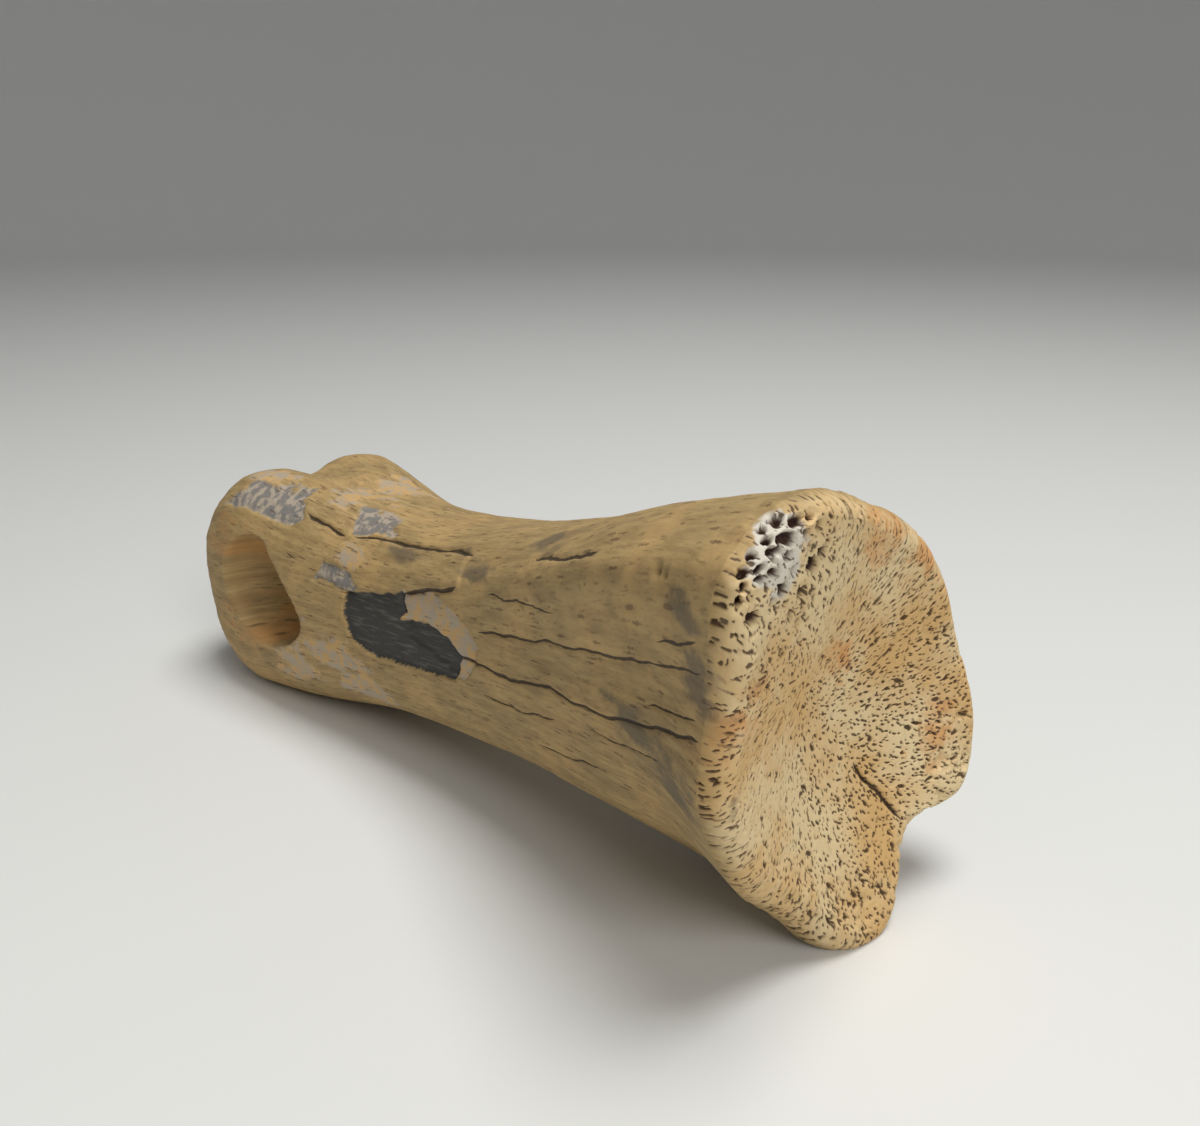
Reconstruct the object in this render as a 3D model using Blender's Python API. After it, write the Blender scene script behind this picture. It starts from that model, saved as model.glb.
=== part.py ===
"""Fossil dinosaur toe bone: one pedal phalanx of a large meat-eating dinosaur, life size, on its underside.

Units are metres, +Z is up. The bone lies along X: the cupped joint face that met the foot is at +X, and
the pulley-shaped joint that carried the next toe bone is at -X. The side with the deep ligament pit faces
-Y and is called the near side. The origin is the middle of the bone's box, at the level of the floor.

The shape is worked out in the bone's own measures first: the distance from the cupped face towards the
pulley, the distance across from the heel towards the far side, and the height.
"""

import math
from typing import NamedTuple

import bmesh
import bpy
import numpy as np

MM = 0.001

# How finely the solid is cut up
POINTS_AROUND = 80
ROWS_FACE = 8
ROWS_RIM = 4
ROWS_SHAFT = 26
ROWS_PULLEY = 10
POINTS_ROUND_PIT = 32
ROWS_PIT = 6


class Station(NamedTuple):
    """The plain section at one place along the bone."""

    along: float
    half_width: float
    half_height: float
    across: float
    height: float
    squareness: float


class Lobe(NamedTuple):
    """A lobe that the cupped end's outline adds to the plain section, in a direction seen from the face."""

    direction: float
    rise: float
    spread_below: float
    spread_above: float
    reach: float


class Pit(NamedTuple):
    """A pit where a side ligament was tied. Its mouth is an oval with one flat edge."""

    along: float
    height: float
    half_length: float
    half_height: float
    mouth: float
    depth: float
    lean: float
    flat: float
    flat_direction: float


# The bone's sections are eased between these stations
STATIONS = (
    Station(0 * MM, 25.2 * MM, 26.4 * MM, -2.0 * MM, 34.4 * MM, 2.0),
    Station(14 * MM, 21.5 * MM, 22.8 * MM, -0.6 * MM, 33.8 * MM, 2.1),
    Station(30 * MM, 19.0 * MM, 21.4 * MM, -0.9 * MM, 31.7 * MM, 2.2),
    Station(50 * MM, 16.8 * MM, 19.6 * MM, -0.6 * MM, 28.8 * MM, 2.3),
    Station(72 * MM, 15.8 * MM, 18.2 * MM, -0.6 * MM, 25.6 * MM, 2.4),
    Station(92 * MM, 16.3 * MM, 18.8 * MM, -0.5 * MM, 23.3 * MM, 2.5),
    Station(110 * MM, 18.7 * MM, 21.3 * MM, 0.2 * MM, 22.0 * MM, 2.9),
    Station(127 * MM, 20.8 * MM, 22.3 * MM, 1.6 * MM, 21.2 * MM, 3.8),
)

NEAR_TOP_CORNER = Lobe(135, 15.0 * MM, 25, 11, 44 * MM)
NEAR_BUMP = Lobe(172, 3.8 * MM, 22, 15, 32 * MM)
HEEL = Lobe(281, 12.6 * MM, 17, 13, 40 * MM)
FAR_HEEL = Lobe(325, 9.6 * MM, 10, 24, 31 * MM)
LOBES = (NEAR_TOP_CORNER, NEAR_BUMP, HEEL, FAR_HEEL)

# The cupped face and the rounding of its rim, which is rounder at the heel
FACE_HOLLOW = 5 * MM
FACE_FLARE = 0.35
RIM_ROUND = 3 * MM
HEEL_ROUND = 2 * MM
HEEL_DIRECTION = 270
HEEL_SPREAD = 40
RIM_REACH = 16 * MM

# The pulley that carried the next bone
PULLEY_AXIS = 127 * MM
PULLEY_REACH = 21.5 * MM
PULLEY_CLOSE = 86
PULLEY_SIDE_CURVE = 0.36
PULLEY_FRONT_CURVE = 0.36
GROOVE_MIDDLE = 3 * MM
GROOVE_HALF_WIDTH = 6.5 * MM
GROOVE_DEPTH = 3.2 * MM
GROOVE_START = 112 * MM

# The shallow hollow on top, behind the pulley, that took the next bone's lip when the toe was raised
LIP_HOLLOW_PLACE = (106 * MM, 3 * MM)
LIP_HOLLOW_REACH = (9 * MM, 8 * MM)
LIP_HOLLOW_DEPTH = 1.6 * MM

# The pits on the pulley's two sides
NEAR_PIT = Pit(118.0 * MM, 24.0 * MM, 14.0 * MM, 10.5 * MM, -20.0 * MM, 13.0 * MM, 3.0 * MM, 8.6 * MM, 137)
FAR_PIT = Pit(121.0 * MM, 23.0 * MM, 7.4 * MM, 6.2 * MM, 20.5 * MM, 5.0 * MM, 1.0 * MM, 6.5 * MM, 137)
PIT_CORNER = 8
PIT_FLOOR = 0.3
PIT_CUTTER_PROUD = 12 * MM

# The bone is pressed this far into the floor, which leaves small flats where it rests
FLOOR_FLAT = 0.35 * MM


def eased_stations(along):
    """Half width, half height, place across, height and squareness at distances along the bone."""
    knots = np.array(STATIONS)
    at, values = knots[:, 0], knots[:, 1:]
    slopes = np.gradient(values, at, axis=0)
    i = np.clip(np.searchsorted(at, along, side="right") - 1, 0, len(at) - 2)
    step = (at[i + 1] - at[i])[..., None]
    u = (along - at[i])[..., None] / step
    rise = values[i + 1] - values[i]
    eased = (
        values[i]
        + u * slopes[i] * step
        + u**2 * (3 * rise - (2 * slopes[i] + slopes[i + 1]) * step)
        + u**3 * ((slopes[i] + slopes[i + 1]) * step - 2 * rise)
    )
    return np.moveaxis(eased, -1, 0)


def turned_from(angle, direction):
    """How far angles in degrees are turned from a direction, from -180 to 180."""
    return (angle - direction + 180) % 360 - 180


def outline(angle, along):
    """Distance from a section's middle to its outline, at angles in degrees and places along the bone."""
    half_width, half_height, _, _, squareness = eased_stations(along)
    turn = np.radians(angle)
    wide = np.abs(np.cos(turn) / half_width) ** squareness
    high = np.abs(np.sin(turn) / half_height) ** squareness
    radius = (wide + high) ** (-1 / squareness)
    for lobe in LOBES:
        off = turned_from(angle, lobe.direction)
        spread = np.where(off < 0, lobe.spread_below, lobe.spread_above)
        swell = np.exp(-((off / spread) ** 2) / 2 - (along / lobe.reach) ** 2)
        radius = radius + lobe.rise * swell
    return radius


def cup(y, z):
    """Depth of the cupped face, counted from the rim of its plain section."""
    off = (y / STATIONS[0].half_width) ** 2 + (z / STATIONS[0].half_height) ** 2
    return FACE_HOLLOW * (1 - off) / (1 + FACE_FLARE * off)


def surface(row, angle):
    """Place of a surface point, from its row and its angle.

    The row runs from 0 to 1 over the face, to 2 round its rim, to 3 down the shaft and to 4 round the
    pulley. The angle turns in degrees from the far side over the top.
    """
    row, angle = np.broadcast_arrays(np.asarray(row, float), np.asarray(angle, float))
    turn = np.radians(angle)
    face = np.clip(row, 0, 1)
    rim = np.radians(90) * np.clip(row - 1, 0, 1)
    shaft = np.clip(row - 2, 0, 1)
    roll = np.radians(PULLEY_CLOSE) * np.clip(row - 3, 0, 1)

    heel = np.exp(-((turned_from(angle, HEEL_DIRECTION) / HEEL_SPREAD) ** 2))
    rounding = RIM_ROUND + HEEL_ROUND * heel
    along = rounding + (PULLEY_AXIS - rounding) * shaft
    radius = outline(angle, along)
    lip = radius - rounding * (1 - np.sin(rim))
    y = lip * face * np.cos(turn)
    z = lip * face * np.sin(turn)
    inner = outline(angle, rounding) - rounding
    fade = np.exp(-((np.maximum(along - rounding, 0) / RIM_REACH) ** 2))
    hollow = cup(inner * face * np.cos(turn), inner * face * np.sin(turn))
    x = along - rounding * np.cos(rim) + hollow * fade

    half_width, _, across, height, _ = eased_stations(along)
    y = y * (1 - PULLEY_SIDE_CURVE * (1 - np.cos(roll)) ** 2)
    z = z * np.cos(roll)
    x = x + PULLEY_REACH * np.sin(roll) * (1 - PULLEY_FRONT_CURVE * np.abs(y / half_width) ** 3)
    return x, across + y, height + z


def groove(x, y, z):
    """Sinks the groove round the pulley between its two condyles."""
    out_x, out_z = x - PULLEY_AXIS, z - STATIONS[-1].height
    reach = np.maximum(np.hypot(out_x, out_z), MM)
    start = np.clip((x - GROOVE_START) / (PULLEY_AXIS - GROOVE_START), 0, 1)
    start = start * start * (3 - 2 * start)
    sink = GROOVE_DEPTH * start * np.exp(-(((y - GROOVE_MIDDLE) / GROOVE_HALF_WIDTH) ** 2))
    return x - sink * out_x / reach, y, z - sink * out_z / reach


def lip_hollow(x, y, z):
    """Sinks the shallow hollow on top, behind the pulley."""
    off_along = (x - LIP_HOLLOW_PLACE[0]) / LIP_HOLLOW_REACH[0]
    off_across = (y - LIP_HOLLOW_PLACE[1]) / LIP_HOLLOW_REACH[1]
    top = z > STATIONS[-1].height
    return x, y, z - LIP_HOLLOW_DEPTH * np.exp(-(off_along**2) - off_across**2) * top


def close_rings(rings, middle):
    """One closed mesh from rings of points that follow each other.

    A fan round its middle point closes the first ring, a strip from its upper to its lower half the last.
    """
    mesh = bmesh.new()
    rings = [[mesh.verts.new(point) for point in ring] for ring in rings]
    middle = mesh.verts.new(middle)
    count = len(rings[0])
    for i in range(count):
        j = (i + 1) % count
        mesh.faces.new((middle, rings[0][i], rings[0][j]))
        for ring, following in zip(rings, rings[1:]):
            mesh.faces.new((ring[i], following[i], following[j], ring[j]))
    last = rings[-1]
    for i in range(count // 2):
        mesh.faces.new(list(dict.fromkeys((last[i], last[-i], last[-i - 1], last[i + 1]))))
    bmesh.ops.recalc_face_normals(mesh, faces=mesh.faces)
    return mesh


def bone_rings():
    """Rings of points from the cupped face to the tip of the pulley, and the middle point of the face."""
    rows = np.concatenate([
        np.arange(1, ROWS_FACE + 1) / ROWS_FACE,
        1 + np.arange(1, ROWS_RIM + 1) / ROWS_RIM,
        2 + np.arange(1, ROWS_SHAFT + 1) / ROWS_SHAFT,
        3 + np.arange(1, ROWS_PULLEY + 1) / ROWS_PULLEY,
    ])
    angles = np.arange(POINTS_AROUND) * 360 / POINTS_AROUND
    rings = np.stack(lip_hollow(*groove(*surface(rows[:, None], angles[None, :]))), axis=-1)
    rings[..., 2] = np.maximum(rings[..., 2] - FLOOR_FLAT, 0)
    return rings, np.stack(surface(0, 0)) - (0, 0, FLOOR_FLAT)


def pit_rings(pit):
    """Rings of a pit's cutter, from well outside the bone to its bottom, and the first one's middle."""
    inward = -math.copysign(1, pit.mouth)
    turn = np.radians(np.arange(POINTS_ROUND_PIT) * 360 / POINTS_ROUND_PIT)
    oval = 1 / np.hypot(np.cos(turn) / pit.half_length, np.sin(turn) / pit.half_height)
    facing = np.maximum(np.cos(turn - math.radians(pit.flat_direction)), 0)
    edge = (oval**-PIT_CORNER + (facing / pit.flat) ** PIT_CORNER) ** (-1 / PIT_CORNER)
    rings = [(-PIT_CUTTER_PROUD, 1.0, 0.0)]
    for row in range(ROWS_PIT + 1):
        down = math.radians(90) * row / ROWS_PIT
        size = PIT_FLOOR + (1 - PIT_FLOOR) * math.cos(down)
        rings.append((pit.depth * math.sin(down), size, pit.lean * math.sin(down)))
    points = np.array([
        np.stack([
            pit.along + edge * size * np.cos(turn) - back,
            np.full_like(turn, pit.mouth + inward * deep),
            pit.height + edge * size * np.sin(turn),
        ], axis=-1)
        for deep, size, back in rings
    ])
    return points, points[0].mean(axis=0)


def remove_scene_objects():
    """Clears whatever the file holds."""
    for thing in list(bpy.data.objects):
        bpy.data.objects.remove(thing, do_unlink=True)


def fossil_material():
    """Ochre fossil bone, dull."""
    material = bpy.data.materials.new("fossil_bone")
    material.use_nodes = True
    shader = material.node_tree.nodes["Principled BSDF"]
    shader.inputs["Base Color"].default_value = (0.38, 0.25, 0.12, 1)
    shader.inputs["Roughness"].default_value = 0.75
    shader.inputs["Metallic"].default_value = 0
    return material


def add_object(name, rings, middle, box_middle):
    """A named object from rings in the bone's own measures, turned so that +X points at the cupped face."""
    facing = np.array((-1, 1, 1))
    solid = close_rings((rings - box_middle) * facing, (middle - box_middle) * facing)
    data = bpy.data.meshes.new(name)
    solid.to_mesh(data)
    solid.free()
    data.shade_smooth()
    made = bpy.data.objects.new(name, data)
    bpy.context.collection.objects.link(made)
    return made


def cut_pit(bone, name, pit, box_middle):
    """Cuts a ligament pit into the bone with a hidden cutter."""
    cutter = add_object(name, *pit_rings(pit), box_middle)
    cutter.hide_render = True
    cutter.display_type = "WIRE"
    cut = bone.modifiers.new(name, "BOOLEAN")
    cut.operation = "DIFFERENCE"
    cut.solver = "EXACT"
    cut.object = cutter


def make_toe_bone():
    """The whole bone, in its own frame."""
    rings, middle = bone_rings()
    box_middle = (rings.min(axis=(0, 1)) + rings.max(axis=(0, 1))) / 2 * (1, 1, 0)
    bone = add_object("toe_bone", rings, middle, box_middle)
    bone.data.materials.append(fossil_material())
    cut_pit(bone, "near_pit_cutter", NEAR_PIT, box_middle)
    cut_pit(bone, "far_pit_cutter", FAR_PIT, box_middle)


remove_scene_objects()
make_toe_bone()
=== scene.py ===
"""The looks of a fossil dinosaur toe bone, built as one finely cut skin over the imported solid.

The skin follows the same form as the solid, in the bone's own measures: millimetres along the bone from the cupped
face, across it from the heel side, and up from the floor. On top of that form it carries what the eye sees on the
real bone: pores, the open spongy corner, cracks, flaked bone, the ragged rim and the pits for the toe's ligaments.
"""

import logging
import math
from dataclasses import dataclass
from enum import Enum
from typing import Callable, NamedTuple, Sequence

import bpy
import numpy as np
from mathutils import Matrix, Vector


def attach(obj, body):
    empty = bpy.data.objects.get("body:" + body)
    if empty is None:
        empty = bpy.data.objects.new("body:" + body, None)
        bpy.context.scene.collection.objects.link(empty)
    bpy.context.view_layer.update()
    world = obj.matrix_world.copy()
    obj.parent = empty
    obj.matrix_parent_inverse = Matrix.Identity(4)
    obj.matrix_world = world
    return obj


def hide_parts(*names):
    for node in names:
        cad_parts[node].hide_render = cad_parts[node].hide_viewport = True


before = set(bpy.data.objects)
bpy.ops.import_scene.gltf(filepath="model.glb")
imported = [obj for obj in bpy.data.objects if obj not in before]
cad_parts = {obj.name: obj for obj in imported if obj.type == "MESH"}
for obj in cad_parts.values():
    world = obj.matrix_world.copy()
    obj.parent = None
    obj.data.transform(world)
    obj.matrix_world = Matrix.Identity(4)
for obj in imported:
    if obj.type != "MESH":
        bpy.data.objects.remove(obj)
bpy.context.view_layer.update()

LOG = logging.getLogger("toe_bone")
MM = 0.001
Array = np.ndarray


# ---- small helpers -------------------------------------------------------------------------------------------


def eased(value: Array, low: float, high: float) -> Array:
    """A smooth step from 0 at low to 1 at high; high may be the smaller one."""
    share = np.clip((value - low) / (high - low), 0, 1)
    return share * share * (3 - 2 * share)


def bell(value: Array, reach: float) -> Array:
    """A bump of height 1 that falls off over a reach on both sides."""
    return np.exp(-((value / reach) ** 2))


def turned_from(angle: Array, direction: float) -> Array:
    """How far angles in degrees are turned from a direction, from -180 to 180."""
    return (angle - direction + 180) % 360 - 180


def paint(red: int, green: int, blue: int) -> tuple[float, float, float, float]:
    """A colour as a shader takes it, from its screen values of 0 to 255."""
    linear = [v / 12.92 if v <= 0.04045 else ((v + 0.055) / 1.055) ** 2.4 for v in (red / 255, green / 255, blue / 255)]
    return (*linear, 1.0)


class Grain:
    """Smooth random values in space, the same on each run."""

    TABLE = 64

    def __init__(self, seed: int) -> None:
        """Draws the table of values for a seed."""
        self.values = np.random.default_rng(seed).uniform(-1, 1, (self.TABLE,) * 3).astype(np.float32)

    def at(self, points: Array, wavelength: float | Sequence[float], layers: int = 1) -> Array:
        """Values from about -1 to 1 at points.

        Args:
            points: places, one row each.
            wavelength: how far apart the swells are, the same or one for each axis.
            layers: how many times finer swells are added, each half as long and half as high.

        Returns:
            One value for each point.
        """
        scaled = points / np.asarray(wavelength, float)
        total, height = np.zeros(len(points)), 1.0
        for layer in range(layers):
            place = scaled * 2**layer + 17.3 * layer
            cell = np.floor(place).astype(int)
            part = place - cell
            part = part * part * (3 - 2 * part)
            for corner in np.ndindex(2, 2, 2):
                at = (cell + corner) % self.TABLE
                weight = np.prod(np.where(corner, part, 1 - part), axis=1)
                total += height * weight * self.values[at[:, 0], at[:, 1], at[:, 2]]
            height /= 2
        return total


# ---- the form of the bone ------------------------------------------------------------------------------------


class Station(NamedTuple):
    """The plain section at one place along the bone."""

    along: float
    half_width: float
    half_height: float
    across: float
    height: float
    squareness: float


class Lobe(NamedTuple):
    """A lobe that the cupped end's outline adds to the plain section, in a direction seen from the face."""

    direction: float
    rise: float
    spread_below: float
    spread_above: float
    reach: float


class Pit(NamedTuple):
    """A pit where a side ligament was tied. Its mouth is an oval with one flat edge."""

    along: float
    height: float
    half_length: float
    half_height: float
    mouth: float
    depth: float
    lean: float
    flat: float
    flat_direction: float


@dataclass(frozen=True)
class BoneForm:
    """The smooth form of the bone, before any damage or texture, in its own measures."""

    stations: tuple[Station, ...] = (
        Station(0, 25.2, 26.4, -2.0, 34.4, 2.0),
        Station(14, 21.5, 22.8, -0.6, 33.8, 2.1),
        Station(30, 19.0, 21.4, -0.9, 31.7, 2.2),
        Station(50, 16.8, 19.6, -0.6, 28.8, 2.3),
        Station(72, 15.8, 18.2, -0.6, 25.6, 2.4),
        Station(92, 16.3, 18.8, -0.5, 23.3, 2.5),
        Station(110, 18.7, 21.3, 0.2, 22.0, 2.9),
        Station(127, 20.8, 22.3, 1.6, 21.2, 3.8),
    )
    near_top_corner: Lobe = Lobe(135, 15.0, 25, 11, 44)
    near_bump: Lobe = Lobe(172, 3.8, 22, 15, 32)
    heel: Lobe = Lobe(281, 12.6, 17, 13, 40)
    far_heel: Lobe = Lobe(325, 9.6, 10, 24, 31)
    face_hollow: float = 5
    face_flare: float = 0.35
    rim_round: float = 3
    heel_round: float = 2
    heel_direction: float = 270
    heel_spread: float = 40
    rim_reach: float = 16
    pulley_axis: float = 127
    pulley_reach: float = 21.5
    pulley_close: float = 86
    pulley_side_curve: float = 0.36
    pulley_front_curve: float = 0.36
    groove_middle: float = 3
    groove_half_width: float = 6.5
    groove_depth: float = 3.2
    groove_start: float = 112
    lip_hollow_place: tuple[float, float] = (106, 3)
    lip_hollow_reach: tuple[float, float] = (9, 8)
    lip_hollow_depth: float = 1.6
    near_pit: Pit = Pit(118, 24, 14, 10.5, -20, 13, 3, 8.6, 137)
    far_pit: Pit = Pit(121, 23, 7.4, 6.2, 20.5, 5, 1, 6.5, 137)
    pit_corner: float = 8
    pit_floor: float = 0.3
    floor_flat: float = 0.35
    middle_along: float = 72.148
    middle_across: float = -1.674

    def sections(self, along: Array) -> Array:
        """Half width, half height, place across, height and squareness, eased between the stations."""
        knots = np.array(self.stations)
        at, values = knots[:, 0], knots[:, 1:]
        slopes = np.gradient(values, at, axis=0)
        i = np.clip(np.searchsorted(at, along, side="right") - 1, 0, len(at) - 2)
        step = (at[i + 1] - at[i])[..., None]
        u = (along - at[i])[..., None] / step
        rise = values[i + 1] - values[i]
        between = (
            values[i]
            + u * slopes[i] * step
            + u**2 * (3 * rise - (2 * slopes[i] + slopes[i + 1]) * step)
            + u**3 * ((slopes[i] + slopes[i + 1]) * step - 2 * rise)
        )
        return np.moveaxis(between, -1, 0)

    def outline(self, angle: Array, along: Array) -> Array:
        """Distance from a section's middle to its outline, at angles in degrees and places along the bone."""
        half_width, half_height, _, _, squareness = self.sections(along)
        turn = np.radians(angle)
        wide = np.abs(np.cos(turn) / half_width) ** squareness
        high = np.abs(np.sin(turn) / half_height) ** squareness
        radius = (wide + high) ** (-1 / squareness)
        for lobe in (self.near_top_corner, self.near_bump, self.heel, self.far_heel):
            off = turned_from(angle, lobe.direction)
            spread = np.where(off < 0, lobe.spread_below, lobe.spread_above)
            radius = radius + lobe.rise * np.exp(-((off / spread) ** 2) / 2 - (along / lobe.reach) ** 2)
        return radius

    def cup(self, y: Array, z: Array) -> Array:
        """Depth of the cupped face, counted from the rim of its plain section."""
        off = (y / self.stations[0].half_width) ** 2 + (z / self.stations[0].half_height) ** 2
        return self.face_hollow * (1 - off) / (1 + self.face_flare * off)

    def surface(self, row: Array, angle: Array) -> Array:
        """Places of surface points.

        Args:
            row: 0 to 1 over the face, to 2 round its rim, to 3 down the shaft and to 4 round the pulley.
            angle: degrees from the far side over the top.

        Returns:
            The places along, across and up, one row for each point.
        """
        turn = np.radians(angle)
        face = np.clip(row, 0, 1)
        rim = np.radians(90) * np.clip(row - 1, 0, 1)
        shaft = np.clip(row - 2, 0, 1)
        roll = np.radians(self.pulley_close) * np.clip(row - 3, 0, 1)

        heel = bell(turned_from(angle, self.heel_direction), self.heel_spread)
        rounding = self.rim_round + self.heel_round * heel
        along = rounding + (self.pulley_axis - rounding) * shaft
        lip = self.outline(angle, along) - rounding * (1 - np.sin(rim))
        y = lip * face * np.cos(turn)
        z = lip * face * np.sin(turn)
        inner = (self.outline(angle, rounding) - rounding) * face
        hollow = self.cup(inner * np.cos(turn), inner * np.sin(turn))
        x = along - rounding * np.cos(rim) + hollow * bell(np.maximum(along - rounding, 0), self.rim_reach)

        half_width, _, across, height, _ = self.sections(along)
        y = y * (1 - self.pulley_side_curve * (1 - np.cos(roll)) ** 2)
        z = z * np.cos(roll)
        x = x + self.pulley_reach * np.sin(roll) * (1 - self.pulley_front_curve * np.abs(y / half_width) ** 3)
        return self.hollowed(np.stack([x, across + y, height + z], axis=-1))

    def hollowed(self, points: Array) -> Array:
        """The points with the pulley's groove and the hollow on top behind it sunk into them."""
        x, y, z = points.T
        middle = self.stations[-1].height
        out_x, out_z = x - self.pulley_axis, z - middle
        reach = np.maximum(np.hypot(out_x, out_z), 1)
        sink = self.groove_depth * eased(x, self.groove_start, self.pulley_axis)
        sink = sink * bell(y - self.groove_middle, self.groove_half_width)
        x, z = x - sink * out_x / reach, z - sink * out_z / reach
        off_along = (x - self.lip_hollow_place[0]) / self.lip_hollow_reach[0]
        off_across = (y - self.lip_hollow_place[1]) / self.lip_hollow_reach[1]
        z = z - self.lip_hollow_depth * np.exp(-(off_along**2) - off_across**2) * (z > middle)
        return np.stack([x, y, z - self.floor_flat], axis=-1)

    def pit_depth(self, pit: Pit, x: Array, z: Array) -> Array:
        """How deep a pit reaches below its mouth, 0 outside it."""
        depth = np.zeros(len(x))
        for _ in range(4):
            off_x, off_z = x - (pit.along - pit.lean * depth / pit.depth), z - pit.height
            turn = np.arctan2(off_z, off_x)
            oval = 1 / np.hypot(np.cos(turn) / pit.half_length, np.sin(turn) / pit.half_height)
            facing = np.maximum(np.cos(turn - math.radians(pit.flat_direction)), 0)
            edge = (oval**-self.pit_corner + (facing / pit.flat) ** self.pit_corner) ** (-1 / self.pit_corner)
            size = np.clip((np.hypot(off_x, off_z) / edge - self.pit_floor) / (1 - self.pit_floor), 0, 1)
            depth = pit.depth * np.sqrt(1 - size**2)
        return depth

    def with_pits(self, points: Array) -> Array:
        """The points with both ligament pits sunk into the pulley's sides."""
        x, y, z = points.T.copy()
        for pit in (self.near_pit, self.far_pit):
            inward = -math.copysign(1, pit.mouth)
            close = np.flatnonzero((np.abs(x - pit.along) < 2 * pit.half_length) & (y * inward < 0))
            depth = self.pit_depth(pit, x[close], z[close])
            sunk = np.maximum(y[close] * inward, pit.mouth * inward + depth)
            y[close] = np.where(depth > 0, inward * sunk, y[close])
        return np.stack([x, y, z], axis=-1)

    def placed(self, points: Array) -> Array:
        """The points turned and moved into the part's frame, in metres, with the flats it rests on."""
        x = self.middle_along - points[:, 0]
        y = points[:, 1] - self.middle_across
        return np.stack([x, y, np.maximum(points[:, 2], 0)], axis=-1) * MM


# ---- the skin's grid of points -------------------------------------------------------------------------------


class Band(NamedTuple):
    """A run of rings with the same number of points."""

    first: float
    last: float
    rings: int
    points: int


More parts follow.
